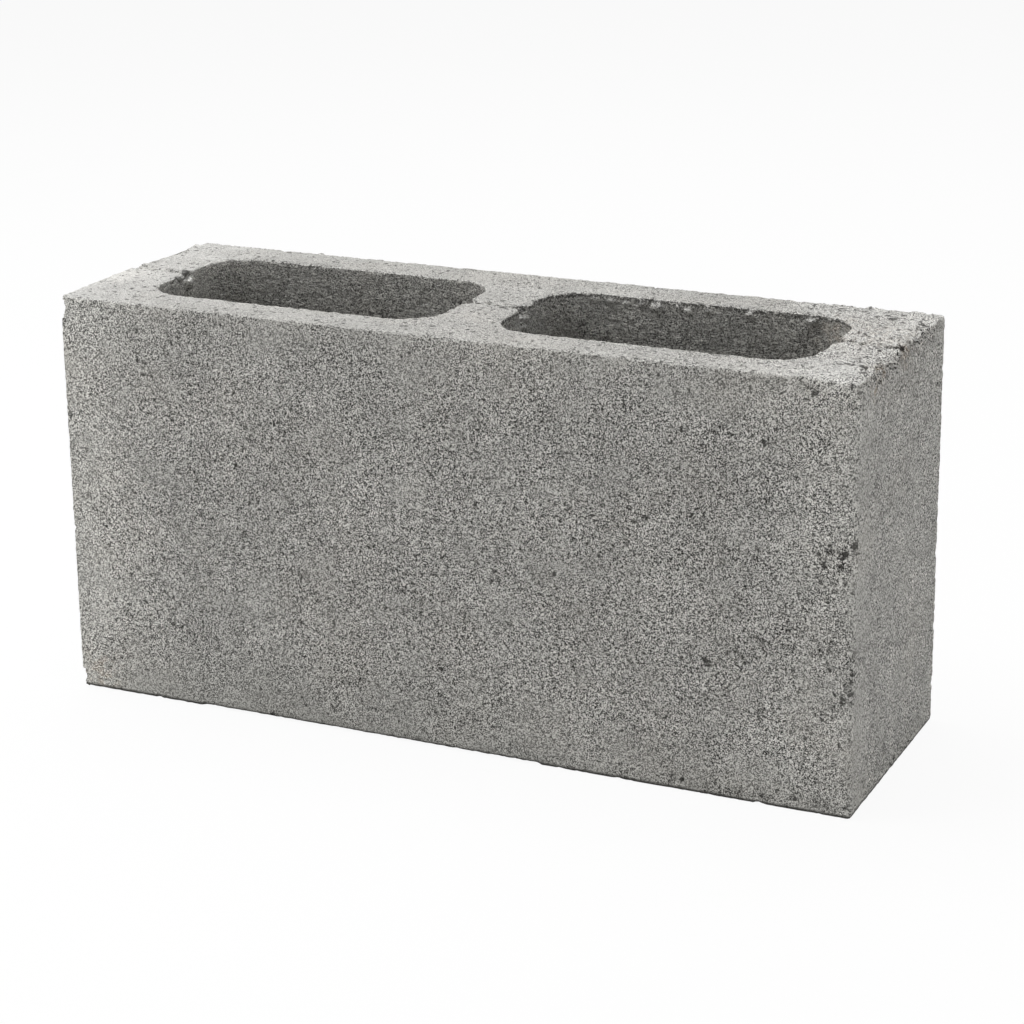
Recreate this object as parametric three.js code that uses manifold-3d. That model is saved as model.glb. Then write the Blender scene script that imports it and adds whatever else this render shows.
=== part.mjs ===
// Hollow concrete block with two cores, 400 x 125 x 200 mm, for a 125 mm wall.
//
// The block stands as it is laid, on its lower bed face. X runs along the wall, Y through it and
// Z up, in millimetres, and the origin is the middle of the lower bed face. It is one casting:
// two face shells joined by two end webs and a middle web, with a core between each pair of webs.
// The cores go right through and narrow downward, as the mould's cores draw out upward. The bar
// that holds the mould's cores leaves a groove across the tops of the webs, and a notch that
// fades down the end walls of each core.

import * as THREE from 'three';
import { mergeVertices } from 'three/addons/utils/BufferGeometryUtils.js';
import Module from 'manifold-3d';

// Driving dimensions. Webs and shells are measured at the top, where they are thinnest.
const LENGTH = 400;
const THICKNESS = 125;
const HEIGHT = 200;
const CORE_COUNT = 2;
const END_WEB = 31.5;
const MIDDLE_WEB = 29;
const FACE_SHELL = 22;
const CORE_CORNER_RADIUS = 21;
const CORE_TAPER = 3; // how far each core wall leans in from the top to the bottom
const CORE_LIP_RADIUS = 0.6; // rounding of the mouth of each core, at the top
const EDGE_RADIUS = 1.2; // rounding of the four upright edges
const TOP_ARRIS_RADIUS = 1.2;
const BOTTOM_ARRIS_RADIUS = 1;
const BAR_GROOVE_WIDTH = 4.5;
const BAR_GROOVE_DEPTH = 2.5;
const BAR_OFFSET = 2; // how far behind the middle of the block the bar lay
const BAR_NOTCH_WIDTH = 12;
const BAR_NOTCH_DEPTH = 3.5;
const BAR_NOTCH_HEIGHT = 30;

// Sizes that follow from them.
const CORE_LENGTH = (LENGTH - 2 * END_WEB - (CORE_COUNT - 1) * MIDDLE_WEB) / CORE_COUNT;
const CORE_WIDTH = THICKNESS - 2 * FACE_SHELL;
const CORE_PITCH = CORE_LENGTH + MIDDLE_WEB;

const CORNER_STEPS = 12; // facets in a quarter turn of a core's corner
const SMALL_STEPS = 4; // facets in a quarter turn of a small rounding
const CUT_PAST = 5; // how far a cutter runs on past the face that it opens

const concrete = new THREE.MeshStandardMaterial({
  name: 'concrete',
  color: 0x8b8985,
  roughness: 0.95,
  metalness: 0,
});

const wasm = await Module();
wasm.setup();

// A rectangle with round corners about the origin, as a ring of points. The curve classes
// divide an arc twice for each division that they are asked for.
function roundedRectangle(length, width, radius, steps) {
  const x = length / 2 - radius;
  const y = width / 2 - radius;
  const outline = new THREE.Shape();
  outline.absarc(x, y, radius, 0, 0.5 * Math.PI);
  outline.absarc(-x, y, radius, 0.5 * Math.PI, Math.PI);
  outline.absarc(-x, -y, radius, Math.PI, 1.5 * Math.PI);
  outline.absarc(x, -y, radius, 1.5 * Math.PI, 2 * Math.PI);
  return outline.getPoints(steps / 2);
}

// The heights and insets of a rounding that turns a wall into the face at z = face. Its arc has
// the given radius; direction is +1 for a rounding under a top face and -1 for one on a bottom.
function convexRounding(face, radius, direction) {
  const levels = [];
  for (let step = 0; step <= SMALL_STEPS; step += 1) {
    const angle = (0.5 * Math.PI * step) / SMALL_STEPS;
    levels.push({
      z: face - direction * radius * (1 - Math.sin(angle)),
      inset: radius * (1 - Math.cos(angle)),
    });
  }
  return direction > 0 ? levels : levels.reverse();
}

// Skins one outline, drawn in by each level's inset, into a closed solid from the lowest level
// to the highest. The corners keep their radius at every level.
function loft(levels, length, width, radius, steps) {
  const rings = levels.map(({ inset }) => (
    roundedRectangle(length - 2 * inset, width - 2 * inset, radius, steps)));
  const count = rings[0].length;
  const positions = rings.flatMap((ring, level) => (
    ring.flatMap((point) => [point.x, point.y, levels[level].z])));
  const triangles = [];
  for (let level = 0; level + 1 < rings.length; level += 1) {
    for (let i = 0; i < count; i += 1) {
      const low = level * count + i;
      const lowNext = level * count + ((i + 1) % count);
      triangles.push(low, lowNext, lowNext + count, low, lowNext + count, low + count);
    }
  }
  const top = (rings.length - 1) * count;
  for (let i = 1; i + 1 < count; i += 1) {
    triangles.push(0, i + 1, i);
    triangles.push(top, top + i, top + i + 1);
  }
  const geometry = new THREE.BufferGeometry();
  geometry.setAttribute('position', new THREE.Float32BufferAttribute(positions, 3));
  geometry.setIndex(triangles);
  return geometry;
}

// The block without its cores: a rounded box with softened bed edges.
function outerGeometry() {
  const levels = [
    ...convexRounding(0, BOTTOM_ARRIS_RADIUS, -1),
    ...convexRounding(HEIGHT, TOP_ARRIS_RADIUS, 1),
  ];
  return loft(levels, LENGTH, THICKNESS, EDGE_RADIUS, SMALL_STEPS);
}

// One core. Its mouth at the top has the full size, then comes the rounded lip, and below the
// lip the walls lean in evenly down to the lower bed.
function coreGeometry() {
  const lipFoot = HEIGHT - CORE_LIP_RADIUS;
  const leanAt = (z) => CORE_TAPER * (lipFoot - z) / lipFoot;
  const levels = [
    { z: -CUT_PAST, inset: CORE_LIP_RADIUS + leanAt(-CUT_PAST) },
    ...convexRounding(HEIGHT, CORE_LIP_RADIUS, 1).map(({ z, inset }) => (
      { z, inset: CORE_LIP_RADIUS - inset })),
    { z: HEIGHT + CUT_PAST, inset: 0 },
  ];
  return loft(levels, CORE_LENGTH, CORE_WIDTH, CORE_CORNER_RADIUS, CORNER_STEPS);
}

// The V-shaped groove that the core bar leaves across the tops of all the webs.
function barGrooveGeometry() {
  const slope = BAR_GROOVE_WIDTH / 2 / BAR_GROOVE_DEPTH;
  const halfWidth = slope * (BAR_GROOVE_DEPTH + CUT_PAST);
  const section = new THREE.Shape();
  section.moveTo(0, -BAR_GROOVE_DEPTH);
  section.lineTo(halfWidth, CUT_PAST);
  section.lineTo(-halfWidth, CUT_PAST);
  section.closePath();
  const run = LENGTH + 2 * CUT_PAST;
  const geometry = new THREE.ExtrudeGeometry(section, { depth: run, bevelEnabled: false });
  const alongX = new THREE.Matrix4().makeBasis(
    new THREE.Vector3(0, 1, 0),
    new THREE.Vector3(0, 0, 1),
    new THREE.Vector3(1, 0, 0),
  );
  return geometry.applyMatrix4(alongX).translate(-run / 2, BAR_OFFSET, HEIGHT);
}

// The notch where the bar met a core's end wall: a wide, flat pyramid, tip down, with one edge
// in the wall.
function barNotchGeometry() {
  const rise = BAR_NOTCH_HEIGHT + CUT_PAST;
  const growth = rise / BAR_NOTCH_HEIGHT;
  return new THREE.ConeGeometry(growth, rise, 4)
    .rotateX(-0.5 * Math.PI)
    .scale(BAR_NOTCH_DEPTH, BAR_NOTCH_WIDTH / 2, 1)
    .translate(0, BAR_OFFSET, HEIGHT + CUT_PAST - rise / 2);
}

function toSolid(geometry) {
  const bare = geometry.clone();
  bare.deleteAttribute('normal');
  bare.deleteAttribute('uv');
  const merged = mergeVertices(bare, 1e-4);
  const mesh = new wasm.Mesh({
    numProp: 3,
    vertProperties: new Float32Array(merged.attributes.position.array),
    triVerts: new Uint32Array(merged.index.array),
  });
  return new wasm.Manifold(mesh);
}

function toGeometry(solid) {
  const { vertProperties, triVerts } = solid.getMesh();
  const geometry = new THREE.BufferGeometry();
  geometry.setAttribute('position', new THREE.BufferAttribute(vertProperties, 3));
  geometry.setIndex(new THREE.BufferAttribute(triVerts, 1));
  const flat = geometry.toNonIndexed();
  flat.computeVertexNormals();
  return flat;
}

function blockMesh() {
  const core = coreGeometry();
  const notch = barNotchGeometry();
  let solid = toSolid(outerGeometry()).subtract(toSolid(barGrooveGeometry()));
  for (let i = 0; i < CORE_COUNT; i += 1) {
    const middle = (i - (CORE_COUNT - 1) / 2) * CORE_PITCH;
    solid = solid.subtract(toSolid(core.clone().translate(middle, 0, 0)));
    for (const wall of [middle - CORE_LENGTH / 2, middle + CORE_LENGTH / 2]) {
      solid = solid.subtract(toSolid(notch.clone().translate(wall, 0, 0)));
    }
  }
  const mesh = new THREE.Mesh(toGeometry(solid), concrete);
  mesh.name = 'concrete_block';
  return mesh;
}

const block = new THREE.Group();
block.name = 'hollow_block';
block.add(blockMesh());

export default block;
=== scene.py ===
"""Looks of a hollow concrete block: a pressed, dry-cast block with open grain and worn edges.

The block's solid is the fixed frame. The casting is made from a merged copy of that solid. Crumbs
are set on the copy and a fine skin is drawn over both. Chips are scooped out of the skin, the
relief of the concrete is raised on it, and the mesh is thinned again.

X runs along the block, Y through it to the back, and Z up, and the origin is the middle of the
lower bed face. Chips, crumbs, stains, bloom and the widths of patterns are in millimetres, and
everything else is in metres.
"""

import math
from functools import partial
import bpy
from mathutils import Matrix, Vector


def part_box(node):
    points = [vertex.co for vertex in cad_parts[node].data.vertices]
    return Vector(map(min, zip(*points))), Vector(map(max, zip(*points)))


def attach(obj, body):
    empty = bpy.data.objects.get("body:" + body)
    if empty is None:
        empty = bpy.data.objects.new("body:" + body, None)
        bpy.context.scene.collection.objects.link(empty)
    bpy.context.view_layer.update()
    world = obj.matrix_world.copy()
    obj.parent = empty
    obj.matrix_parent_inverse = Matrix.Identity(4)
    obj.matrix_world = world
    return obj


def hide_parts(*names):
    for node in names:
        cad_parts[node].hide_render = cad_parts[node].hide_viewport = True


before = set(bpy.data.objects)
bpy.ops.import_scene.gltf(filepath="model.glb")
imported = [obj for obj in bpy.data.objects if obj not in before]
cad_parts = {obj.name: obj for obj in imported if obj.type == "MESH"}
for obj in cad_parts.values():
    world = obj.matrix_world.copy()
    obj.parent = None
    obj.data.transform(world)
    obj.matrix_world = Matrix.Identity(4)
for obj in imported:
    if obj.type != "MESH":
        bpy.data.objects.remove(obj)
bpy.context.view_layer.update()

from types import SimpleNamespace

import bmesh
import bpy
import numpy as np
from bpy.props import FloatProperty, FloatVectorProperty, IntProperty, PointerProperty
from mathutils import Matrix, Vector, noise

bl_info = {
    "name": "Hollow Concrete Block",
    "version": (1, 0, 0),
    "blender": (4, 5, 0),
    "location": "View3D > Sidebar > Block",
    "description": "Makes a weathered hollow concrete block and the pale stage that it stands on",
    "category": "Add Mesh",
}

NODE = "concrete_block"
BODY = "root"
MM = 0.001
LOW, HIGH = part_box(NODE)
FRONT, BACK = LOW.y, HIGH.y
LEFT, RIGHT = LOW.x, HIGH.x
TOP = HIGH.z
WELD = 1e-6

# How far behind the middle of the block the mould's bar lay, and how much farther back its mark
# strays at the left end.
BAR_LINE = 2.5 * MM
BAR_STRAY = 4.5 * MM

# Bites smaller than HOLE_RADIUS, in mm, are open holes, and look dark where they are as deep as
# HOLE_DEPTH. The rim of every bite strays by a share of its radius, in waves of RAGGED_WIDTH.
HOLE_RADIUS = 2.7
HOLE_DEPTH = 0.5 * MM
RAGGED_SHARE = 0.35
RAGGED_WIDTH = 2.0 * MM

# How deep below the top the thinning leaves smaller triangles, and how strongly it is told to.
SPARED_DEPTH = 7 * MM
SPARED_WEIGHT = 0.9

# Knocks in the edges and open holes in the faces: middle and radius of each bite, in mm.
CHIPS = (
    # The left front arris.
    (-202.4, -64.6, 201.6, 5.8),
    (-203.1, -62.5, 194.2, 6.2),
    (-202.6, -63.5, 147.0, 3.6),
    (-203.8, -63.5, 4.0, 7.4),
    (-203.6, -65.6, -3.0, 8.6),
    (-198.2, -63.0, 187.5, 1.5),
    (-198.4, -63.2, 140.0, 1.5),
    # The right front arris, from the top down.
    (195.7, -63.0, 197.6, 1.4),
    (197.6, -63.0, 191.4, 1.1),
    (176.8, -63.0, 178.1, 1.1),
    (197.7, -63.0, 158.2, 1.1),
    (186.5, -63.0, 145.0, 1.2),
    (199.2, -63.8, 127.2, 2.6),
    (195.0, -63.2, 123.6, 1.7),
    (193.1, -63.2, 121.6, 1.8),
    (192.8, -63.3, 117.5, 1.9),
    (190.1, -63.0, 117.0, 1.1),
    (188.0, -63.0, 118.3, 1.1),
    (185.4, -63.1, 116.9, 1.7),
    (183.7, -63.0, 119.3, 1.1),
    (198.4, -63.1, 106.1, 1.3),
    (185.6, -63.0, 101.4, 1.1),
    (199.6, -63.2, 88.8, 1.3),
    (199.6, -63.2, 79.6, 1.3),
    (191.6, -63.0, 78.4, 1.1),
    (199.5, -63.4, 68.9, 2.0),
    (199.3, -63.2, 65.9, 1.5),
    (196.2, -63.1, 63.2, 1.2),
    (199.1, -63.4, 58.8, 2.1),
    (191.4, -63.0, 58.2, 1.1),
    (194.8, -63.2, 56.8, 1.6),
    (194.3, -63.2, 54.6, 1.4),
    (197.5, -63.2, 5.7, 1.5),
    (184.7, -63.0, 6.6, 1.2),
    (174.3, -63.0, 5.7, 1.3),
    (166.0, -63.0, 8.0, 1.2),
    # The middle of the front.
    (133.0, -63.1, 64.2, 1.6),
    (131.2, -63.0, 65.2, 1.2),
    (58.0, -63.0, 95.2, 1.4),
    (126.1, -63.0, 94.7, 1.2),
    (102.9, -63.0, 127.8, 1.3),
    # The right end.
    (201.0, 2.8, 4.2, 1.9),
    (201.0, 24.8, 3.6, 1.8),
    (200.6, 13.3, 170.9, 1.4),
    (200.6, 10.5, 168.9, 1.5),
    (200.6, 52.9, 170.3, 1.5),
    # The bar's groove over the left web, and the gully where it breaks into the core.
    (-200.5, 4.0, 206.5, 8.8),
    (-197.6, 4.4, 200.5, 1.6),
    (-191.0, 3.5, 200.5, 1.5),
    (-185.0, 3.6, 200.5, 1.4),
    (-179.5, 3.7, 200.5, 1.7),
    (-175.5, 3.0, 200.4, 1.9),
    (-172.4, 2.2, 200.2, 2.0),
    (-171.0, 4.4, 199.2, 1.9),
    (-169.6, 4.4, 191.0, 1.4),
    # The rest of the top, from the left.
    (-166.2, -47.0, 200.5, 1.3),
    (-162.1, -48.9, 200.5, 1.4),
    (-11.8, 1.6, 200.4, 1.7),
    (-3.6, 4.2, 200.5, 1.3),
    (-0.8, 3.6, 200.5, 1.2),
    (4.2, -1.4, 200.4, 1.5),
    (6.3, -1.6, 200.1, 1.9),
    (9.4, 0.4, 201.4, 2.8),
    (11.4, 1.0, 200.0, 3.0),
    (13.6, 1.6, 198.4, 3.2),
    (15.8, 6.0, 200.2, 1.6),
    (12.9, 3.4, 188.8, 1.7),
    (166.0, 53.1, 200.4, 1.4),
    (173.1, 47.8, 200.4, 1.6),
    (180.4, 45.5, 200.3, 1.9),
    (189.8, 30.9, 200.4, 1.6),
    (195.9, 43.0, 200.6, 1.8),
    (196.3, 33.5, 200.4, 1.8),
    (180.6, 0.3, 200.3, 2.1),
    (183.1, 0.6, 200.5, 1.5),
    (196.6, -2.2, 199.8, 2.2),
    (198.6, -1.0, 199.4, 1.9),
    (182.1, -35.9, 200.4, 1.8),
    (192.5, -36.4, 200.4, 1.9),
    (196.8, -28.0, 200.0, 1.7),
)

# Grit and spatter that stuck to the skin: middle and radius of each, in mm.
CRUMB_SHAPE = (1.2, 1.0, 0.8, 1)
CRUMBS = (
    # The back edge.
    (-125.0, 61.3, 199.5, 1.6),
    (150.9, 61.5, 199.7, 1.2),
    (164.0, 61.5, 199.7, 1.3),
    (185.0, 61.5, 199.6, 1.3),
    (194.2, 61.0, 199.4, 1.3),
    (197.2, 60.0, 198.6, 2.0),
    # The wall of the left web, beside the gully.
    (-167.9, -4.2, 198.6, 1.9),
    (-170.6, 5.6, 193.9, 3.4),
    # The middle web's wall, under the groove.
    (12.6, 3.4, 193.4, 1.9),
    (13.6, 3.4, 189.6, 1.6),
    # Under the far rim of the right core.
    (20.4, 40.0, 196.6, 1.8),
    (26.5, 40.0, 196.6, 2.1),
    (34.0, 40.2, 196.8, 1.6),
    (43.2, 40.0, 196.6, 2.1),
    (51.0, 40.2, 196.0, 1.7),
    (59.0, 40.1, 196.9, 1.8),
    (66.8, 39.9, 195.9, 2.8),
    (77.5, 40.1, 197.0, 1.8),
    (82.0, 40.1, 195.8, 2.0),
    (92.0, 40.1, 196.6, 1.9),
    (113.0, 40.1, 196.8, 1.8),
    (143.0, 39.6, 196.6, 2.3),
    # The worn arrises of the two ends.
    (-197.5, -60.5, 199.3, 1.8),
    (-197.5, 8.5, 199.0, 1.9),
    (197.4, -61.8, 194.0, 2.3),
    (198.6, -45.0, 198.8, 2.0),
    (198.8, -21.0, 198.9, 2.1),
    (199.0, 5.0, 197.6, 2.0),
    (198.9, 14.0, 198.8, 1.8),
    (198.8, 38.0, 198.9, 1.9),
)

# Faint rusty and rosy tints in the skin: middle, radius in mm, and strength.
STAINS = (
    ((200, -32, 199), 9, 1.0),
    ((200, -43, 193), 8, 1.0),
    ((200, 2, 196), 9, 0.8),
    ((178, 14, 200), 40, 0.3),
    ((158, 34, 190), 20, 0.45),
    ((-188, -62, 9), 17, 0.5),
)

# Pale lime bloom on the top of the left end: middle, radius in mm, and strength.
BLOOM = ((-197, -14, 200), 24, 0.75)

# The soft lamps: where each hangs, the side of its square, and its power in watts.
LAMPS = {
    "overhead_left": ((-0.8, -0.2, 1.7), 1.4, 24),
    "overhead": ((0, 0, 1.8), 1.4, 9.3),
    "overhead_back": ((-0.3, 0.9, 1.6), 1.4, 13),
    "front_left": ((-1.6, -1.6, 0.5), 1.2, 13),
    "front": ((0.3, -2.2, 0.6), 1.2, 4.6),
    "low_right": ((2.2, -0.4, 0.32), 0.6, 18.5),
}
WORLD_LEVEL = 0.1  # the room's own light, beside the lamps
SENSOR_WIDTH = 36
FLOOR_REACH = 6
FLOOR_DROP = 0.2 * MM  # keeps the floor clear of the bed face
WHITE = "#ffffff"
PAPER = "#e7e7e7"
PAPER_GLOW = 0.93  # share of plain white in what the camera sees; the rest takes the shadow

# Dry concrete: matte, with the usual IOR of cement and sand, and pores that swallow half of its
# highlights.
CONCRETE_ROUGHNESS = 0.93
CONCRETE_IOR = 1.5
CONCRETE_SPECULAR = 0.25
BUMP_HEIGHT = 0.8 * MM
NOISE_SHARE = 0.38  # the repeat of a noise, as a share of the width of the grains that it draws

# The kinds of node in the trees below, by short names: each one's type, its settings, the inputs
# that its values go to, in order, and the output that is used, or None where several are.
MATH_KINDS = ("absolute", "add", "divide", "greater_than", "less_than", "maximum", "minimum",
              "multiply", "multiply_add", "subtract")
RAMP_INPUTS = ("Value", "From Min", "From Max", "To Min", "To Max")
NOISE_INPUTS = ("Vector", "Scale", "Detail", "Roughness", "Distortion")
SHADER_INPUTS = ("Base Color", "Roughness", "IOR", "Specular IOR Level", "Normal")
NODE_KINDS = {
    kind: ("ShaderNodeMath", {"operation": kind.upper()}, (0, 1, 2), 0) for kind in MATH_KINDS
}
NODE_KINDS |= {
    "ramp": ("ShaderNodeMapRange", {"clamp": True}, RAMP_INPUTS, 0),
    "soft_ramp": ("ShaderNodeMapRange", {"interpolation_type": "SMOOTHSTEP"}, RAMP_INPUTS, 0),
    "mix": ("ShaderNodeMix", {}, (0, 2, 3), 0),
    "mix_colour": ("ShaderNodeMix", {"data_type": "RGBA"}, (0, 6, 7), 2),
    "noise": ("ShaderNodeTexNoise", {}, NOISE_INPUTS, 0),
    "cells": ("ShaderNodeTexVoronoi", {"feature": "F1"}, ("Vector", "Scale"), None),
    "split": ("ShaderNodeSeparateXYZ", {}, (0,), None),
    "split_colour": ("FunctionNodeSeparateColor", {}, (0,), None),
    "stretch": ("ShaderNodeVectorMath", {"operation": "MULTIPLY"}, (0, 1), 0),
    "scale": ("ShaderNodeVectorMath", {"operation": "SCALE"}, (0, "Scale"), 0),
    "distance": ("ShaderNodeVectorMath", {"operation": "DISTANCE"}, (0, 1), "Value"),
    "group_input": ("NodeGroupInput", {}, (), 0),
    "group_output": ("NodeGroupOutput", {}, (0,), None),
    "position": ("GeometryNodeInputPosition", {}, (), 0),
    "normal": ("GeometryNodeInputNormal", {}, (), 0),
    "object_info": ("GeometryNodeObjectInfo", {}, ("Object",), "Geometry"),
    "edge_distance": ("GeometryNodeProximity", {"target_element": "EDGES"}, ("Geometry",),
                      "Distance"),
    "move_points": ("GeometryNodeSetPosition", {}, ("Geometry", "Offset"), 0),
    "store": ("GeometryNodeStoreNamedAttribute", {"data_type": "FLOAT", "domain": "POINT"},
              ("Geometry", "Name", "Value"), 0),
    "attribute": ("ShaderNodeAttribute", {}, (), "Fac"),
    "object_place": ("ShaderNodeTexCoord", {}, (), "Object"),
    "true_normal": ("ShaderNodeNewGeometry", {}, (), "True Normal"),
    "bump": ("ShaderNodeBump", {}, ("Strength", "Distance", "Height"), 0),
    "principled": ("ShaderNodeBsdfPrincipled", {}, SHADER_INPUTS, 0),
    "diffuse": ("ShaderNodeBsdfDiffuse", {}, ("Color",), 0),
    "emission": ("ShaderNodeEmission", {}, ("Color", "Strength"), 0),
    "mix_shader": ("ShaderNodeMixShader", {}, (0, 1, 2), 0),
    "light_path": ("ShaderNodeLightPath", {}, (), None),
    "background": ("ShaderNodeBackground", {}, ("Color", "Strength"), 0),
    "material_output": ("ShaderNodeOutputMaterial", {}, ("Surface",), None),
    "world_output": ("ShaderNodeOutputWorld", {}, ("Surface",), None),
}


def linear(hex_colour):
    """An sRGB hex colour as the linear values that nodes and properties hold."""
    channels = [int(hex_colour[i : i + 2], 16) / 255 for i in (1, 3, 5)]
    return [c / 12.92 if c <= 0.04045 else ((c + 0.055) / 1.055) ** 2.4 for c in channels]


def per_metre(millimetres):
    """The scale of a pattern whose marks repeat about every so many millimetres."""
    return 1 / (millimetres * MM)


def add_node(tree, kind, *values, **settings):
    """Adds a node of one of the NODE_KINDS and gives its inputs their values in order.

    A value that is the output of another node is linked. What comes back is the output that is
    used, or all of them where the kind names none.
    """
    node_type, fixed, inputs, output = NODE_KINDS[kind]
    node = tree.nodes.new(node_type)
    for name, setting in (fixed | settings).items():
        setattr(node, name, setting)
    for name, value in zip(inputs, values):
        socket = node.inputs[name]
        if isinstance(value, bpy.types.NodeSocket):
            tree.links.new(value, socket)
        else:
            socket.default_value = value
    return node.outputs if output is None else node.outputs[output]


def cleared_tree(owner):
    """The node tree of a new material or world, with nothing in it."""
    owner.use_nodes = True
    owner.node_tree.nodes.clear()
    return owner.node_tree


class ConcreteSizes(bpy.types.PropertyGroup):
    """Sizes of the grain, the wear and the mesh that carries them."""

    skin_cell: FloatProperty(
        name="Skin Cell",
        description="Spacing of the fine skin that the relief is raised on",
        default=0.8 * MM,
        unit="LENGTH",
        precision=5,
    )
    faces: IntProperty(
        name="Faces",
        description="Triangles that the finished casting is thinned to",
        default=196000,
    )
    spared: FloatProperty(
        name="Spared",
        description="How strongly the thinning spares the crumbly rims at the top",
        default=6e-5,
        precision=6,
    )
    grain: FloatProperty(
        name="Grain",
        description="Width of a sand grain in the face of the block",
        default=1.5 * MM,
        unit="LENGTH",
        precision=5,
    )
    grain_relief: FloatProperty(
        name="Grain Relief",
        description="How far the grain stands up or down from the moulded faces",
        default=0.14 * MM,
        unit="LENGTH",
        precision=5,
    )
    pore_depth: FloatProperty(
        name="Pore Depth",
        description="Depth of the small open pores between grains",
        default=0.8 * MM,
        unit="LENGTH",
        precision=5,
    )
    arris_wear: FloatProperty(
        name="Arris Wear",
        description="How far the crumbled edges wander in and out",
        default=0.35 * MM,
        unit="LENGTH",
        precision=5,
    )


class ConcreteColours(bpy.types.PropertyGroup):
    """Colours of the cement paste, the sand and the pores."""

    paste: FloatVectorProperty(
        name="Paste",
        description="Colour of the dry cement paste",
        default=linear("#a1a09b"),
        subtype="COLOR",
        min=0,
        max=1,
    )
    sand: FloatVectorProperty(
        name="Sand",
        description="Colour of the palest sand grains in the face",
        default=linear("#dddbd6"),
        subtype="COLOR",
        min=0,
        max=1,
    )
    film: FloatVectorProperty(
        name="Film",
        description="Colour of the pale cement film on the struck top face",
        default=linear("#cfcecb"),
        subtype="COLOR",
        min=0,
        max=1,
    )
    stain: FloatVectorProperty(
        name="Stain",
        description="Colour of the faint rusty stains in the skin",
        default=linear("#a0917f"),
        subtype="COLOR",
        min=0,
        max=1,
    )
    # Also the colour of the painted shadows along the foot and under the right core's rim.
    pore: FloatVectorProperty(
        name="Pore",
        description="Colour of the shaded bottom of an open pore",
        default=linear("#2f2e2b"),
        subtype="COLOR",
        min=0,
        max=1,
    )


class StageSettings(bpy.types.PropertyGroup):
    """The camera's place round the block, and its lens."""

    azimuth: FloatProperty(
        name="Azimuth",
        description="Turn of the camera to the right of the block's front",
        default=math.radians(25.006),
        subtype="ANGLE",
    )
    elevation: FloatProperty(
        name="Elevation",
        description="Height of the camera above the level",
        default=math.radians(16.851),
        subtype="ANGLE",
    )
    roll: FloatProperty(
        name="Roll",
        description="Lean of the camera about its line of sight",
        default=math.radians(-0.665),
        subtype="ANGLE",
    )
    distance: FloatProperty(
        name="Distance",
        description="From the middle of the bed face to the camera, along its line of sight",
        default=1.3402,
        unit="LENGTH",
    )
    slide: FloatVectorProperty(
        name="Slide",
        description="How far the camera is moved across and up, at right angles to its sight",
        default=(0.0081, 0.1335),
        size=2,
        unit="LENGTH",
    )
    lens: FloatProperty(
        name="Lens",
        description="Focal length in millimetres on a 36 mm sensor",
        default=96.23,
    )
    rise: FloatProperty(
        name="Rise",
        description="Upright shift of the lens, as a part of the picture's width",
        default=-0.0816,
        precision=4,
    )


# ---------------------------------------------------------------------------------------------
# The casting
# ---------------------------------------------------------------------------------------------


def merged_copy():
    """The block's solid as a bmesh with its loose triangles joined."""
    bm = bmesh.new()
    bm.from_mesh(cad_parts[NODE].data)
    bmesh.ops.remove_doubles(bm, verts=bm.verts, dist=WELD)
    return bm


def new_piece(name, bm):
    """Turns a bmesh into an object in the scene."""
    mesh = bpy.data.meshes.new(name)
    bm.to_mesh(mesh)
    bm.free()
    piece = bpy.data.objects.new(name, mesh)
    bpy.context.scene.collection.objects.link(piece)
    return piece


def apply_modifiers(piece):
    """Replaces a piece's mesh by what its modifiers make of it."""
    graph = bpy.context.evaluated_depsgraph_get()
    made = bpy.data.meshes.new_from_object(piece.evaluated_get(graph))
    old = piece.data
    piece.modifiers.clear()
    piece.data = made
    bpy.data.meshes.remove(old)


def add_crumbs(bm):
    """Adds small grains that the fine skin then joins to the block."""
    for x, y, z, radius in CRUMBS:
        place = Matrix.Translation(Vector((x, y, z)) * MM) @ Matrix.Diagonal(CRUMB_SHAPE)
        bmesh.ops.create_icosphere(bm, subdivisions=2, radius=radius * MM, matrix=place)


def vertex_places(mesh):
    """The places of a mesh's vertices, as rows of X, Y and Z."""
    points = np.empty(3 * len(mesh.vertices))
    mesh.vertices.foreach_get("co", points)
    return points.reshape(-1, 3)


def scoop_chips(mesh):
    """Presses rough round bites into the skin, and marks the small ones as dark holes."""
    points = vertex_places(mesh)
    bitten = np.zeros(len(points))
    for x, y, z, radius in CHIPS:
        middle = np.array((x, y, z)) * MM
        away = points - middle
        reach = np.linalg.norm(away, axis=1)
        for i in np.flatnonzero(reach < (1 + RAGGED_SHARE) * radius * MM):
            ragged = 1 + RAGGED_SHARE * noise.noise(Vector(points[i]) / RAGGED_WIDTH)
            push = ragged * radius * MM - reach[i]
            if push > 0:
                points[i] += push * away[i] / reach[i]
                if radius < HOLE_RADIUS:
                    bitten[i] = max(bitten[i], min(1.0, push / HOLE_DEPTH))
    points[:, 2] = np.maximum(points[:, 2], 0.0)
    mesh.vertices.foreach_set("co", points.ravel())
    mesh.attributes.new("bitten", "FLOAT", "POINT").data.foreach_set("value", bitten)
    mesh.update()


def spare_top(piece):
    """Marks the skin near the top, where the thinning is to leave smaller triangles."""
    high = np.flatnonzero(vertex_places(piece.data)[:, 2] > TOP - SPARED_DEPTH)
    group = piece.vertex_groups.new(name="spared")
    group.add(high.tolist(), SPARED_WEIGHT, "REPLACE")


def arris_lines():
    """A helper mesh that holds only the edges where the block's faces turn a corner."""
    bm = merged_copy()
    sharp = math.radians(15)
    smooth = [e for e in bm.edges if e.calc_face_angle(0) < sharp]
    bmesh.ops.delete(bm, geom=smooth, context="EDGES")
    bmesh.ops.delete(bm, geom=bm.faces[:], context="FACES_ONLY")
    return new_piece("arris_lines", bm)


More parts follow.
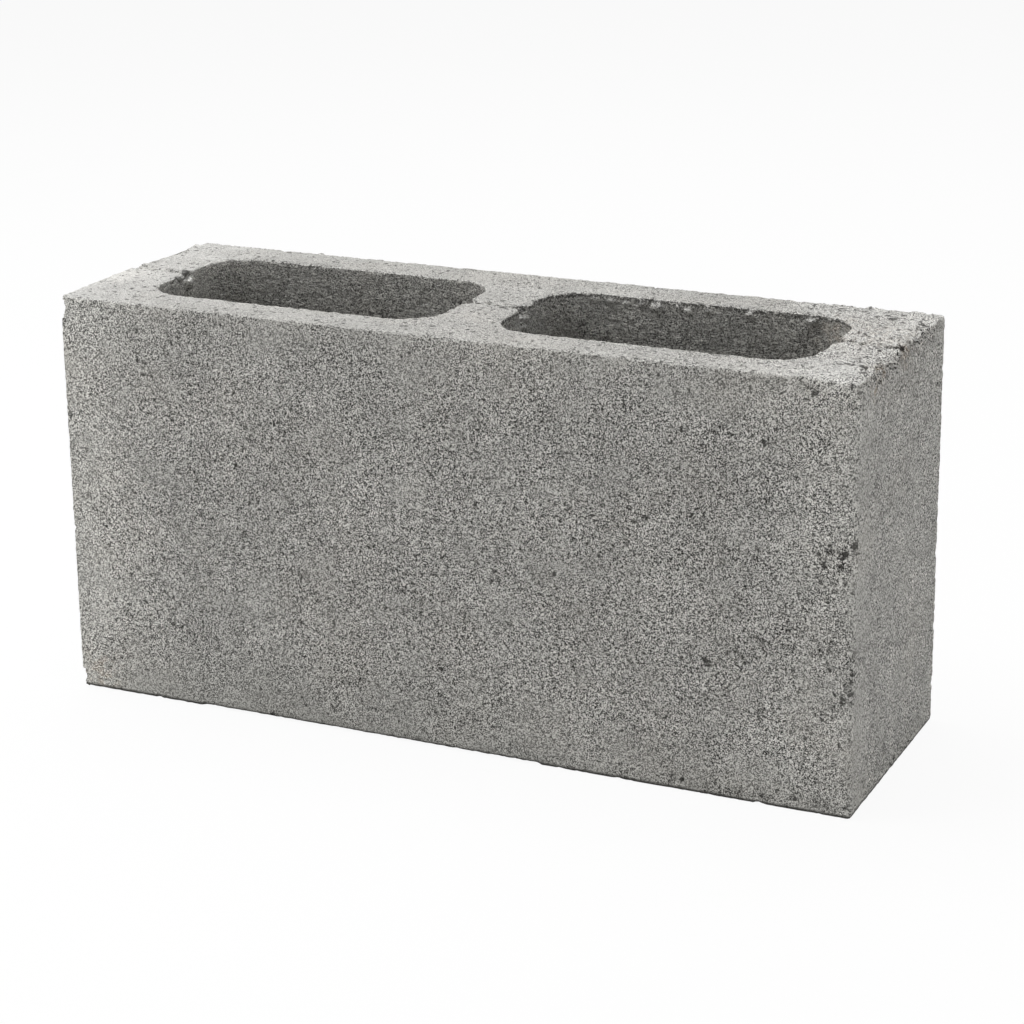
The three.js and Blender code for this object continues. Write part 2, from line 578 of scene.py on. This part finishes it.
def skin_masks(put, arrises):
    """Places on the skin, and masks that are one on a part of it and nothing off that part."""
    place = put("position")
    across, through, upward = put("split", place)
    facing_right, _, facing_up = put("split", put("normal"))
    to_arris = put("edge_distance", put("object_info", arrises))
    skin = SimpleNamespace(place=place, across=across, through=through, upward=upward,
                           facing_up=facing_up)

    def band(value, low, high):
        """One between two places in mm, with soft ends."""
        return put("multiply", put("soft_ramp", value, (low - 2) * MM, (low + 2) * MM),
                   put("soft_ramp", value, (high + 2) * MM, (high - 2) * MM))

    # The outermost and the wider strip along every edge.
    skin.near_arris = put("soft_ramp", to_arris, 0.5 * MM, 4 * MM, 1.0, 0.0)
    skin.close_by = put("soft_ramp", to_arris, 1 * MM, 9 * MM, 1.0, 0.0)

    # The struck top, the outsides of the two ends, and the walls of the cores.
    skin.struck = put("multiply", put("soft_ramp", facing_up, 0.5, 0.9),
                      put("soft_ramp", upward, TOP - 3 * MM, TOP - 1.5 * MM))
    outer_end = put("multiply", put("soft_ramp", put("absolute", facing_right), 0.6, 0.9),
                    put("soft_ramp", put("absolute", across), RIGHT - 4 * MM, RIGHT - 2 * MM))
    in_core = put("multiply", put("less_than", put("absolute", through), BACK - 18 * MM),
                  put("less_than", put("absolute", across), RIGHT - 24 * MM))
    skin.in_core = put("multiply", in_core, put("subtract", 1.0, skin.struck))

    # The ends are denser than the faces, and the right end's top arris is worn but for the back.
    skin.smoothness = put("subtract", 1.0, put("multiply", outer_end, 0.55))
    worn_end = put("multiply", put("soft_ramp", across, RIGHT - 14 * MM, RIGHT - 3 * MM),
                   put("soft_ramp", upward, TOP - 14 * MM, TOP - 3 * MM))
    skin.worn_end = put("multiply", worn_end, put("soft_ramp", through, 54 * MM, 40 * MM))

    # The front is open where the mix didn't fill the mould: under the top towards the right, by
    # the right arris, and along the foot at the right.
    under_top = put("multiply", put("soft_ramp", across, 50 * MM, 150 * MM),
                    band(upward, 192, 198))
    by_arris = put("multiply", band(across, 182, 204), band(upward, 48, 132))
    by_foot = put("multiply", band(across, 118, 204), band(upward, 2.5, 7.5))
    under_top = put("multiply", under_top, 0.6)
    by_arris = put("multiply", by_arris, 0.65)
    open_front = put("maximum", under_top, put("maximum", by_arris, by_foot))
    on_front = put("soft_ramp", through, FRONT + 4 * MM, FRONT + 2 * MM)
    skin.open_front = put("multiply", open_front, on_front)

    # The foot of the front is worn from the left part to past the middle.
    worn_foot = put("multiply", put("soft_ramp", upward, 3.5 * MM, 1.5 * MM), on_front)
    skin.worn_foot = put("multiply", worn_foot, band(across, -130, 50))
    return skin


def sway(put, skin, width, detail=2.0, roughness=0.5):
    """A random swing about zero, whose marks are about so many mm wide."""
    swing = put("noise", skin.place, per_metre(width), detail, roughness)
    return put("subtract", swing, 0.5)


def pores(put, skin, spacing, least, most, share):
    """Round pits in some cells of a pattern, with widths between two limits, all in mm."""
    cells = put("cells", skin.place, per_metre(spacing))
    lots = put("split_colour", cells["Color"])
    width = put("multiply_add", lots[0], (most - least) / spacing, least / spacing)
    chosen = put("less_than", lots[1], share)
    depth = put("soft_ramp", put("divide", cells["Distance"], width), 0.35, 1.0, 1.0, 0.0)
    return put("multiply", put("multiply", depth, chosen), skin.smoothness)


def open_pores(put, skin, sizes):
    """A mask of all the pits and gaps, and how deep they go.

    Pits are fewer on the dense ends, and where the left of the top was trowelled shut.
    """
    trowelled = put("multiply", skin.struck,
                    put("soft_ramp", skin.across, 60 * MM, -60 * MM, 0.0, 0.7))
    open_share = put("subtract", 1.0, trowelled)
    small = put("multiply", pores(put, skin, 3.0, 0.5, 1.1, 0.4), open_share)
    large = put("multiply", pores(put, skin, 9.0, 0.9, 1.9, 0.35), open_share)
    gaps = put("soft_ramp", sway(put, skin, 3.8, 2.0, 0.6), 0.05, 0.15)
    gaps = put("multiply", gaps, skin.open_front)
    pit = put("maximum", put("maximum", small, put("multiply", large, 0.5)), gaps)
    sunk = put("add", put("multiply", small, sizes.pore_depth),
               put("multiply", large, 1.6 * sizes.pore_depth))
    return pit, put("multiply_add", gaps, 1.8 * sizes.pore_depth, sunk)


def crumbled_edges(put, skin, sizes):
    """A crumbly line along every edge, bites out of it, and lumps on the right end's top."""
    crumble = put("multiply", put("subtract", sway(put, skin, 3.5, 3.0, 0.65), 0.03),
                  put("multiply", skin.near_arris, 3.0 * sizes.arris_wear))
    bites = put("multiply", put("soft_ramp", sway(put, skin, 8.0, 2.0), 0.1, 0.24),
                put("multiply", skin.near_arris, -2.5 * sizes.arris_wear))
    lumps = put("multiply", put("subtract", sway(put, skin, 5.0, 3.0, 0.6), 0.13), 9 * MM)
    lumps = put("multiply", lumps, put("multiply", skin.worn_end, skin.close_by))
    return crumble, bites, put("minimum", lumps, 0.7 * MM)


def worn_arrises(put, skin):
    """The wear of the left top arris, deeper towards the back, and that of the front's foot."""
    worn_left = put("multiply", put("soft_ramp", skin.across, LEFT + 9 * MM, LEFT + 4 * MM),
                    put("soft_ramp", skin.upward, TOP - 9 * MM, TOP - 4 * MM))
    wear_start = put("soft_ramp", skin.through, 10 * MM, 14 * MM)
    wear_depth = put("soft_ramp", skin.through, 10 * MM, 50 * MM, -0.8 * MM, -2.1 * MM)
    wear_end = put("soft_ramp", skin.through, 48 * MM, 60 * MM, 1.0, 0.5)
    for part in (wear_start, wear_depth, wear_end):
        worn_left = put("multiply", worn_left, part)
    return worn_left, put("multiply", skin.worn_foot, -0.8 * MM)


def bar_score(put, skin):
    """A mask of the broken line that the mould's bar scored across the struck top."""
    bar_line = put("soft_ramp", skin.across, -172 * MM, -192 * MM, BAR_LINE, BAR_LINE + BAR_STRAY)
    wander = put("multiply_add", sway(put, skin, 24, 3.0, 0.6), 8 * MM, bar_line)
    off_bar = put("absolute", put("subtract", skin.through, wander))
    kept = put("multiply", skin.struck, put("soft_ramp", sway(put, skin, 11, 2.0), -0.16, 0.06))
    return put("multiply", put("soft_ramp", off_bar, 1.5 * MM, 0.4 * MM), kept)


def relief_nodes(sizes, arrises):
    """The relief of the concrete: grain, open pores, crumbled edges and the struck top."""
    tree = bpy.data.node_groups.new("concrete_relief", "GeometryNodeTree")
    tree.interface.new_socket("Geometry", in_out="INPUT", socket_type="NodeSocketGeometry")
    tree.interface.new_socket("Geometry", in_out="OUTPUT", socket_type="NodeSocketGeometry")
    put = partial(add_node, tree)
    skin = skin_masks(put, arrises)

    # Sand in the faces and the slow waves of the mould, flakes on the struck top, which grow
    # towards the right, and drag marks down the cores.
    grain = put("multiply", sway(put, skin, 2.6, 2.0, 0.6), 2.0 * sizes.grain_relief)
    waves = put("multiply", sway(put, skin, 30, 2.0), 0.35 * MM)
    flake_height = put("soft_ramp", skin.across, 120 * MM, 180 * MM, 1.1 * MM, 3.6 * MM)
    flakes = put("multiply", sway(put, skin, 5.0, 3.0, 0.6),
                 put("multiply", skin.struck, flake_height))
    swirls = put("multiply", sway(put, skin, 6.5, 3.0, 0.6),
                 put("multiply", skin.in_core, 1.4 * MM))

    # How far each point rises, all told. The bed face, underneath, only ever goes in.
    pit, sunk = open_pores(put, skin, sizes)
    crumble, bites, lumps = crumbled_edges(put, skin, sizes)
    bar_mark = bar_score(put, skin)
    rise = put("add", put("multiply", grain, skin.smoothness), waves)
    rise = put("add", put("add", rise, crumble), put("add", bites, lumps))
    rise = put("add", rise, put("add", flakes, swirls))
    rise = put("add", rise, put("add", *worn_arrises(put, skin)))
    rise = put("subtract", rise, put("multiply_add", bar_mark, 1.5 * MM, sunk))
    off_bed = put("soft_ramp", skin.facing_up, -0.9, -0.6)
    rise = put("multiply_add", put("maximum", rise, 0.0), off_bed, put("minimum", rise, 0.0))
    moved = put("move_points", put("group_input"), put("scale", put("normal"), rise))
    masks = {"pit": pit, "bar_mark": bar_mark, "struck": skin.struck, "in_core": skin.in_core}
    for name, mask in masks.items():
        moved = put("store", moved, name, mask)
    put("group_output", moved)
    return tree


def concrete_masks(put):
    """Places on the block, and masks that tell its parts apart to the material."""
    place = put("object_place")
    across, through, upward = put("split", place)
    at = SimpleNamespace(place=place, across=across, through=through, upward=upward)
    for name in ("struck", "in_core", "pit", "bitten", "bar_mark"):
        setattr(at, name, put("attribute", attribute_name=name))
    at.on_end = put("ramp", across, RIGHT - 3 * MM, RIGHT - 1.5 * MM)
    # The strip of the right end by its front arris, which the mould rubbed smooth.
    at.smooth_strip = put("multiply", at.on_end,
                          put("ramp", through, FRONT + 24 * MM, FRONT + 14 * MM))
    return at


def sand_grit(put, at, grain):
    """One fine random field, drawn down a little on the right end.

    Its high parts are pale grains and its low parts are crevices.
    """
    scale = per_metre(NOISE_SHARE * grain / MM)
    drawn_down = put("stretch", at.place, (1, 1, 0.65))
    return put("mix", at.on_end, put("noise", at.place, scale, 0.0, 0.5, 1.0),
               put("noise", drawn_down, scale, 0.0, 0.5, 1.0))


def rubbed_shut(put, at):
    """How far steel closed the grain: on the struck top, in the cores and on the smooth strip."""
    closing = put("multiply", at.struck, put("ramp", at.across, LEFT, RIGHT, 0.65, 0.3))
    closing = put("multiply_add", at.in_core, 0.4, closing)
    return put("multiply_add", at.smooth_strip, 0.4, closing)


def openness_of_grain(put, at, closing):
    """How open the grain is: uneven all over, and less along the edges of the faces."""
    by_edge = put("maximum", put("ramp", at.upward, TOP - 34 * MM, TOP - 8 * MM, 0.0, 0.28),
                  put("ramp", at.upward, 40 * MM, 6 * MM, 0.0, 0.38))
    by_edge = put("maximum", by_edge,
                  put("ramp", put("absolute", at.across), 155 * MM, 188 * MM, 0.0, 0.2))
    off_faces = put("maximum", at.on_end, put("maximum", at.struck, at.in_core))
    by_edge = put("multiply", by_edge, put("subtract", 1.0, off_faces))
    openness = put("subtract", put("ramp", at.across, LEFT, RIGHT, 1.04, 1.16),
                   put("add", closing, by_edge))
    patches = put("noise", at.place, per_metre(17), 3.0)
    return put("multiply", put("ramp", patches, 0.36, 0.64, 0.68, 1.22), openness)


def holes_and_painted_shade(put, at, closing):
    """Where it is dark: in random holes, in the relief's pits and bites, and in painted shadows.
    """
    specks = put("noise", at.place, per_metre(1.1), 1.0, 0.5, 0.8)
    ragged = put("noise", at.place, per_metre(1.8), 2.0, 0.6, 1.0)
    ragged = put("ramp", ragged, 0.4, 0.58, 0.55, 1.2)
    broken = put("multiply", put("maximum", at.pit, at.bitten), ragged)
    hollow = put("maximum", broken, put("multiply", at.bar_mark, 1.3))
    open_pit = put("ramp", put("multiply_add", specks, -0.9, hollow), 0.06, 0.16)

    # Painted shadow: a loose dark line just under the rim of the right core, all round it.
    right_core = put("multiply", at.in_core, put("greater_than", at.across, 0.0))
    under_rim = put("multiply", right_core, put("ramp", at.upward, TOP - 4 * MM, TOP - 2 * MM))
    painted_rim_shadow = put("ramp", put("subtract", put("multiply", under_rim, 0.56), specks), 0.0, 0.05)

    # Random holes, more of them on the struck top and round the pits.
    hole_level = put("mix", at.struck, 0.34,
                     put("ramp", at.across, 100 * MM, 170 * MM, 0.394, 0.406))
    hole_level = put("multiply_add", hollow, 0.15, hole_level)
    holes = put("noise", at.place, per_metre(2.6), 2.0, 0.6, 0.6)
    holes = put("ramp", put("subtract", hole_level, holes), 0.0, 0.04)
    # The painted shadow under the right core's rim joins the holes here.
    holes = put("maximum", put("maximum", holes, open_pit), painted_rim_shadow)
    holes = put("multiply", holes, put("ramp", closing, 0.0, 0.4, 0.85, 0.77))
    # Painted shadow: a dark line over the lowest 2.3 mm of the block, all round its foot.
    foot = put("ramp", at.upward, 2.3 * MM, 1.2 * MM, 0.0, 0.95)
    return put("maximum", holes, foot)


def skin_tint(put, at, colours):
    """Cement paste under pale film, and dust and painted light, with warm clouds, rust stains and
    lime bloom.
    """

    def near(point, radius):
        """One at a point of the block, given in mm, and nothing beyond a radius."""
        away = put("distance", at.place, Vector(point) * MM)
        return put("ramp", away, radius * MM, 0.3 * radius * MM)

    film = put("multiply", at.struck,
               put("ramp", put("absolute", at.across), 0.6 * RIGHT, RIGHT, 0.42, 0.9))
    _, _, facing_up = put("split", put("true_normal"))
    # Dust and painted light: the up-facing parts of the cores take the film's pale colour.
    dust_and_painted_light = put("multiply", at.in_core, put("ramp", facing_up, 0.25, 0.6))
    warm = put("noise", at.place, per_metre(38), 3.0)
    warm = put("ramp", warm, 0.45, 0.75, 0.0, 0.12)
    stained = 0.0
    for middle, radius, strength in STAINS:
        stained = put("maximum", stained, put("multiply", near(middle, radius), strength))
    blotted = put("noise", at.place, per_metre(4), 2.0)
    stained = put("multiply", stained, put("ramp", blotted, 0.4, 0.6))
    middle, radius, strength = BLOOM
    bloomed = put("multiply", put("multiply", near(middle, radius), at.struck), strength)
    return layered(put, (*colours.paste, 1), (put("maximum", film, dust_and_painted_light), colours.film),
                   (put("maximum", warm, stained), colours.stain), (bloomed, colours.sand))


def layered(put, tint, *layers):
    """A tint with layers over it, each a share and a colour."""
    for share, colour in layers:
        tint = put("mix_colour", share, tint, (*colour, 1))
    return tint


def light_and_dark(put, at, swirls):
    """How much lighter or darker than its tint the skin is from place to place, painted light
    included.
    """
    # Small mottles and broad clouds on every face, and blotches on the right end.
    mottling = put("noise", at.place, per_metre(14), 3.0)
    mottling = put("ramp", mottling, 0.3, 0.7, 0.95, 1.05)
    blotches = put("noise", at.place, per_metre(4.5), 2.0)
    blotches = put("ramp", blotches, 0.35, 0.65, 0.9, 1.1)
    mottling = put("multiply", mottling, put("mix", at.on_end, 1.0, blotches))
    clouds = put("noise", at.place, per_metre(60), 3.0)
    clouds = put("ramp", clouds, 0.3, 0.7, 0.92, 1.08)
    clouds = put("multiply", clouds, put("multiply_add", at.smooth_strip, 0.05, 1.0))

    # Drag marks in the cores.
    drags_and_painted_light = put("mix", at.in_core, 1.0, put("ramp", swirls, 0.35, 0.65, 0.66, 1.28))
    # Painted light: the faces and cores lighten towards both ends, and the left end face all
    # over.
    painted_end_light = put("maximum", put("ramp", at.across, -130 * MM, -190 * MM, 1.03, 1.38),
                put("ramp", at.across, 140 * MM, 190 * MM, 1.03, 1.19))
    painted_end_light = put("mix", at.on_end, painted_end_light, 1.0)
    # Painted light: the struck top lightens towards the right.
    painted_end_light = put("mix", at.struck, painted_end_light,
                put("ramp", at.across, 20 * MM, 180 * MM, 1.02, 1.16))
    drags_and_painted_light = put("multiply", drags_and_painted_light, painted_end_light)

    # Streaks that run down from the top of the right end.
    near_top = put("multiply", at.on_end, put("ramp", at.upward, TOP - 36 * MM, TOP - 10 * MM))
    upright = put("stretch", at.place, (1, 1, 0.12))
    streaks = put("noise", upright, per_metre(1.6), 1.0, 0.5, 0.3)
    streaks = put("ramp", streaks, 0.35, 0.65, 0.84, 1.12)
    drags_and_painted_light = put("multiply", drags_and_painted_light, put("mix", near_top, 1.0, streaks))
    return put("multiply", put("multiply", mottling, clouds), drags_and_painted_light)


def dry_cast_concrete(colours, sizes):
    """Pressed dry-cast concrete: sand grains in thin cement paste, quite matte.

    The eye gets a salt-and-pepper grain of pale sand and dark crevices, more closed where steel
    rubbed the mix: on the struck top, in the cores and on a strip of the right end. Most real
    sand is finer than half a millimetre, so its grains are drawn coarser here, to show.
    """
    material = bpy.data.materials.new("dry_cast_concrete")
    put = partial(add_node, cleared_tree(material))
    at = concrete_masks(put)
    grit = sand_grit(put, at, sizes.grain)
    closing = rubbed_shut(put, at)
    openness = openness_of_grain(put, at, closing)
    pale = put("multiply", openness, put("ramp", grit, 0.51, 0.6, 0.0, 0.7))
    dull = put("multiply", openness, put("ramp", grit, 0.5, 0.4, 0.0, 0.25))
    crevice = put("multiply", openness, put("ramp", grit, 0.43, 0.4))
    dark = put("maximum", put("multiply", crevice, 0.95), holes_and_painted_shade(put, at, closing))

    tint = layered(put, skin_tint(put, at, colours), (pale, colours.sand), (dull, colours.pore),
                   (dark, colours.pore))
    lying = put("stretch", at.place, (0.35, 0.35, 1))
    swirls = put("noise", lying, per_metre(1.5), 1.0, 0.5, 1.6)
    tint = put("scale", tint, light_and_dark(put, at, swirls))

    # Grains stand up; crevices, holes and the painted shadows go down; and the cores keep their
    # drag marks.
    height = put("subtract", put("multiply", grit, put("multiply", openness, 0.8)), dark)
    height = put("multiply_add", put("multiply", swirls, at.in_core), 1.2, height)
    bump = put("bump", 1.0, BUMP_HEIGHT, height)
    put("material_output", put("principled", tint, CONCRETE_ROUGHNESS, CONCRETE_IOR,
                               CONCRETE_SPECULAR, bump))
    return material


class BLOCK_OT_cast(bpy.types.Operator):
    """Make the weathered casting from the block's solid"""

    bl_idname = "block.cast"
    bl_label = "Cast Block"

    def execute(self, context):
        sizes = context.scene.concrete_sizes
        colours = context.scene.concrete_colours
        bm = merged_copy()
        add_crumbs(bm)
        casting = new_piece("block_casting", bm)

        skin = casting.modifiers.new("fine_skin", "REMESH")
        skin.mode = "VOXEL"
        skin.voxel_size = sizes.skin_cell
        skin.use_smooth_shade = True
        apply_modifiers(casting)
        scoop_chips(casting.data)
        spare_top(casting)

        arrises = arris_lines()
        relief = casting.modifiers.new("relief", "NODES")
        relief.node_group = relief_nodes(sizes, arrises)
        thin = casting.modifiers.new("thin", "DECIMATE")
        # The skin's faces have four sides, so each counts as two triangles.
        thin.ratio = sizes.faces / (2 * len(casting.data.polygons))
        thin.use_collapse_triangulate = True
        thin.vertex_group = "spared"
        thin.invert_vertex_group = True
        thin.vertex_group_factor = sizes.spared
        apply_modifiers(casting)
        bpy.data.objects.remove(arrises)

        casting.data.materials.clear()
        casting.data.materials.append(dry_cast_concrete(colours, sizes))
        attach(casting, BODY)
        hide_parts(NODE)
        return {"FINISHED"}


# ---------------------------------------------------------------------------------------------
# The stage
# ---------------------------------------------------------------------------------------------


def set_camera(stage):
    """Puts the camera on its line of sight to the middle of the bed face, slid across and up."""
    cos_elevation = math.cos(stage.elevation)
    back = Vector((math.sin(stage.azimuth) * cos_elevation,
                   -math.cos(stage.azimuth) * cos_elevation,
                   math.sin(stage.elevation)))
    right = (-back).cross(Vector((0, 0, 1))).normalized()
    up = right.cross(-back)
    data = bpy.data.cameras.new("camera")
    data.lens = stage.lens
    data.sensor_width = SENSOR_WIDTH
    data.shift_y = stage.rise
    camera = bpy.data.objects.new("camera", data)
    bpy.context.scene.collection.objects.link(camera)
    camera.location = back * stage.distance + right * stage.slide[0] + up * stage.slide[1]
    level = Matrix((right, up, back)).transposed()
    camera.rotation_mode = "QUATERNION"
    camera.rotation_quaternion = (level @ Matrix.Rotation(stage.roll, 3, "Z")).to_quaternion()
    bpy.context.scene.camera = camera


def add_area_light(name, place, target, size, power):
    """A soft square lamp that faces a point."""
    data = bpy.data.lights.new(name, "AREA")
    data.size = size
    data.energy = power
    lamp = bpy.data.objects.new(name, data)
    lamp.location = place
    lamp.rotation_mode = "QUATERNION"
    lamp.rotation_quaternion = (Vector(place) - Vector(target)).to_track_quat("Z", "Y")
    bpy.context.scene.collection.objects.link(lamp)


def seen_by_camera(put):
    """One for rays that show the backdrop to the camera, straight or through metal or glass."""
    rays = put("light_path")
    seen = put("maximum", rays["Is Camera Ray"], rays["Is Glossy Ray"])
    return put("maximum", seen, rays["Is Transmission Ray"])


def white_backdrop_world(level):
    """A world that lights evenly and shows white behind the block."""
    world = bpy.data.worlds.new("soft_white_room")
    put = partial(add_node, cleared_tree(world))
    strength = put("ramp", seen_by_camera(put), 0.0, 1.0, level, 1.0)
    put("world_output", put("background", (*linear(WHITE), 1), strength))
    bpy.context.scene.world = world


def white_paper():
    """Matte white paper: it takes a soft shadow, and shows white to the camera elsewhere."""
    material = bpy.data.materials.new("matte_white_paper")
    put = partial(add_node, cleared_tree(material))
    share = put("multiply", seen_by_camera(put), PAPER_GLOW)
    paper = put("diffuse", (*linear(PAPER), 1))
    glow = put("emission", (*linear(WHITE), 1), 1.0)
    put("material_output", put("mix_shader", share, paper, glow))
    return material


class BLOCK_OT_stage(bpy.types.Operator):
    """Make the pale floor, the soft light and the camera"""

    bl_idname = "block.stage"
    bl_label = "Set Stage"

    def execute(self, context):
        bm = bmesh.new()
        bmesh.ops.create_grid(bm, x_segments=1, y_segments=1, size=FLOOR_REACH)
        bmesh.ops.translate(bm, verts=bm.verts, vec=(0, 0, -FLOOR_DROP))
        floor = new_piece("floor", bm)
        floor.data.materials.append(white_paper())
        for name, (place, size, power) in LAMPS.items():
            add_area_light(name, place, (0, 0, 0.5 * TOP), size, power)
        white_backdrop_world(WORLD_LEVEL)
        set_camera(context.scene.block_stage)
        context.scene.view_settings.view_transform = "Standard"
        return {"FINISHED"}


class VIEW3D_PT_block(bpy.types.Panel):
    """Lists the steps that make the block and its stage"""

    bl_idname = "VIEW3D_PT_block"
    bl_label = "Concrete Block"
    bl_space_type = "VIEW_3D"
    bl_region_type = "UI"
    bl_category = "Block"

    def draw(self, context):
        layout = self.layout
        for group in ("concrete_sizes", "concrete_colours", "block_stage"):
            settings = getattr(context.scene, group)
            box = layout.box()
            for name in settings.__annotations__:
                box.prop(settings, name)
        layout.operator(BLOCK_OT_cast.bl_idname)
        layout.operator(BLOCK_OT_stage.bl_idname)


CLASSES = (
    ConcreteSizes,
    ConcreteColours,
    StageSettings,
    BLOCK_OT_cast,
    BLOCK_OT_stage,
    VIEW3D_PT_block,
)


def register():
    for cls in CLASSES:
        bpy.utils.register_class(cls)
    bpy.types.Scene.concrete_sizes = PointerProperty(type=ConcreteSizes)
    bpy.types.Scene.concrete_colours = PointerProperty(type=ConcreteColours)
    bpy.types.Scene.block_stage = PointerProperty(type=StageSettings)


def unregister():
    del bpy.types.Scene.block_stage
    del bpy.types.Scene.concrete_colours
    del bpy.types.Scene.concrete_sizes
    for cls in reversed(CLASSES):
        bpy.utils.unregister_class(cls)


def main():
    register()
    bpy.ops.block.cast()
    bpy.ops.block.stage()


if __name__ == "__main__":
    main()
